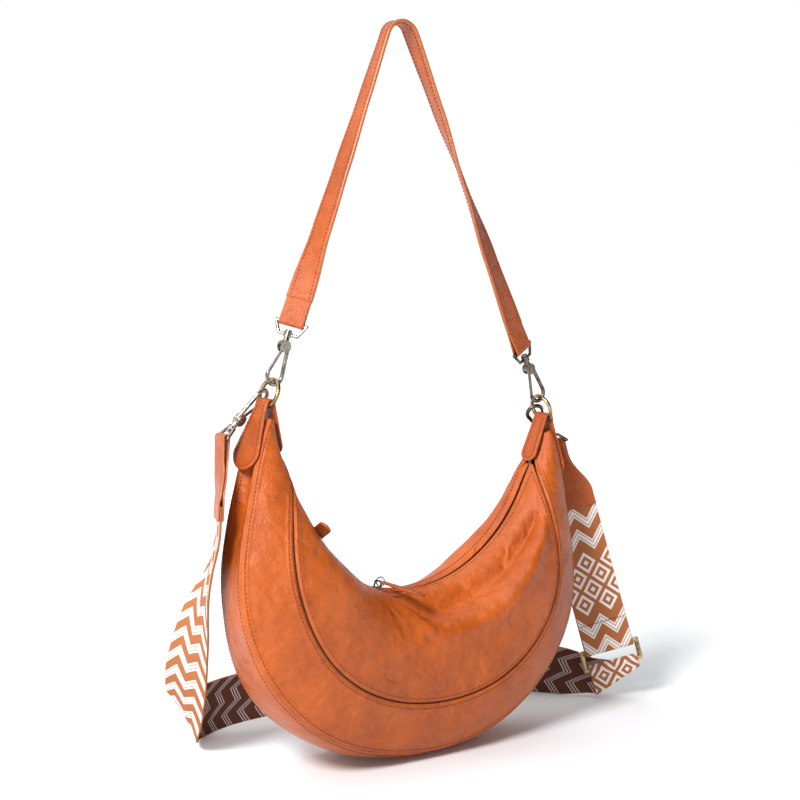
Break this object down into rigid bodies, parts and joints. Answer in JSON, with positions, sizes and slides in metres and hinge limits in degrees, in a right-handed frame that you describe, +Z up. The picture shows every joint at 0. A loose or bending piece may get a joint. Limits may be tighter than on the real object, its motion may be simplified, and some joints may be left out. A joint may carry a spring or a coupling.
{
  "type": "half moon bag",
  "caption": "Crescent shoulder bag with a curved zip mouth, a short strap on swivel hooks and a woven long strap lying round its back.",
  "frame": {"origin": "middle of the flat patch under the bag, on the floor", "axes": "+Z up, front of the bag towards -Y, +X to the right across the bag"},
  "size_m": [0.5269, 0.2429, 0.6949],
  "materials": {
    "tan_leather": "satin grain",
    "lining": "matt",
    "zip_tape": "matt",
    "zip_coil": "matt",
    "hook_metal": "polished",
    "antique_brass": "antique",
    "woven_cotton": "woven"
  },
  "bodies": {
    "bag": {"front_upper_panel": "tan_leather", "front_lower_band": "tan_leather", "back_upper_panel": "tan_leather", "back_lower_band": "tan_leather", "gusset": "tan_leather", "front_lining": "lining", "back_lining": "lining", "gusset_lining": "lining", "zip_tape_front": "zip_tape", "zip_tape_back": "zip_tape", "zip_coil_front": "zip_coil", "zip_coil_back": "zip_coil", "zip_end_stops": "zip_tape", "end_tab_left": "tan_leather", "end_tab_right": "tan_leather", "ring_left": "antique_brass", "ring_right": "antique_brass", "woven_left_hook_bail": "hook_metal", "woven_right_hook_bail": "hook_metal", "woven_tab_left": "tan_leather", "woven_tab_right": "tan_leather", "weave_short": "woven_cotton", "weave_long": "woven_cotton", "box_ring": "antique_brass"},
    "strap": {"shoulder_strap": "tan_leather", "shoulder_left_hook_bail": "hook_metal", "shoulder_right_hook_bail": "hook_metal"},
    "slider_right": {"zip_slider_right": "hook_metal"},
    "pull_right": {"zip_pull_link_right": "hook_metal", "zip_pull_right": "tan_leather"},
    "slider_left": {"zip_slider_left": "hook_metal"},
    "pull_left": {"zip_pull_link_left": "hook_metal", "zip_pull_left": "tan_leather"},
    "shoulder_left_hook": {"shoulder_left_hook": "hook_metal", "shoulder_left_hook_rivet": "hook_metal"},
    "shoulder_left_gate": {"shoulder_left_hook_gate": "hook_metal"},
    "shoulder_right_hook": {"shoulder_right_hook": "hook_metal", "shoulder_right_hook_rivet": "hook_metal"},
    "shoulder_right_gate": {"shoulder_right_hook_gate": "hook_metal"},
    "woven_left_hook": {"woven_left_hook": "hook_metal", "woven_left_hook_rivet": "hook_metal"},
    "woven_left_gate": {"woven_left_hook_gate": "hook_metal"},
    "woven_right_hook": {"woven_right_hook": "hook_metal", "woven_right_hook_rivet": "hook_metal"},
    "woven_right_gate": {"woven_right_hook_gate": "hook_metal"}
  },
  "joints": [
    {"name": "zip_slider_right_run", "type": "hinge", "parent": "bag", "child": "slider_right", "pos_m": [0.00585, 0, 0.31464], "axis": [0, -1, 0], "range_deg": [-19, 76]},
    {"name": "zip_slider_left_run", "type": "hinge", "parent": "bag", "child": "slider_left", "pos_m": [0.00585, 0, 0.31464], "axis": [0, -1, 0], "range_deg": [-26, 5]},
    {"name": "zip_pull_right_flip", "type": "hinge", "parent": "slider_right", "child": "pull_right", "pos_m": [-0.03323, 0, 0.16879], "axis": [-0.9659, 0, 0.2588], "range_deg": [0, 145]},
    {"name": "zip_pull_left_flip", "type": "hinge", "parent": "slider_left", "child": "pull_left", "pos_m": [-0.1115, 0, 0.21962], "axis": [-0.6293, 0, 0.7771], "range_deg": [0, 140]},
    {"name": "shoulder_strap_swing", "type": "hinge", "parent": "bag", "child": "strap", "pos_m": [0.00848, 0, 0.34602], "axis": [0.9922, 0, -0.1243], "range_deg": [-60, 60]},
    {"name": "shoulder_left_hook_swivel", "type": "hinge", "parent": "strap", "child": "shoulder_left_hook", "pos_m": [-0.15507, 0, 0.36651], "axis": [0.3827, 0, 0.9239], "range_deg": [-10, 10]},
    {"name": "shoulder_right_hook_swivel", "type": "hinge", "parent": "strap", "child": "shoulder_right_hook", "pos_m": [0.17204, 0, 0.32553], "axis": [-0.4226, 0, 0.9063], "range_deg": [-10, 10]},
    {"name": "woven_left_hook_swivel", "type": "hinge", "parent": "bag", "child": "woven_left_hook", "pos_m": [-0.15402, 0.00985, 0.3585], "axis": [-0.7384, 0.1371, -0.6603], "range_deg": [-8, 8]},
    {"name": "woven_right_hook_swivel", "type": "hinge", "parent": "bag", "child": "woven_right_hook", "pos_m": [0.16975, 0.00927, 0.31716], "axis": [0.6979, 0.1994, -0.6879], "range_deg": [-8, 0]},
    {"name": "shoulder_left_gate_open", "type": "hinge", "parent": "shoulder_left_hook", "child": "shoulder_left_gate", "pos_m": [-0.14129, 0, 0.39977], "axis": [0, -1, 0], "range_deg": [0, 20], "stiffness_Nm_per_rad": 0.02, "springref_deg": -5.73},
    {"name": "shoulder_right_gate_open", "type": "hinge", "parent": "shoulder_right_hook", "child": "shoulder_right_gate", "pos_m": [0.15682, 0, 0.35816], "axis": [0, -1, 0], "range_deg": [0, 20], "stiffness_Nm_per_rad": 0.02, "springref_deg": -5.73},
    {"name": "woven_left_gate_open", "type": "hinge", "parent": "woven_left_hook", "child": "woven_left_gate", "pos_m": [-0.1806, 0.01479, 0.33473], "axis": [0.2568, -0.8482, -0.4633], "range_deg": [0, 8], "stiffness_Nm_per_rad": 0.02, "springref_deg": -5.73},
    {"name": "woven_right_gate_open", "type": "hinge", "parent": "woven_right_hook", "child": "woven_right_gate", "pos_m": [0.19487, 0.01645, 0.2924], "axis": [-0.24, -0.8398, -0.4869], "range_deg": [0, 3], "stiffness_Nm_per_rad": 0.02, "springref_deg": -5.73}
  ]
}
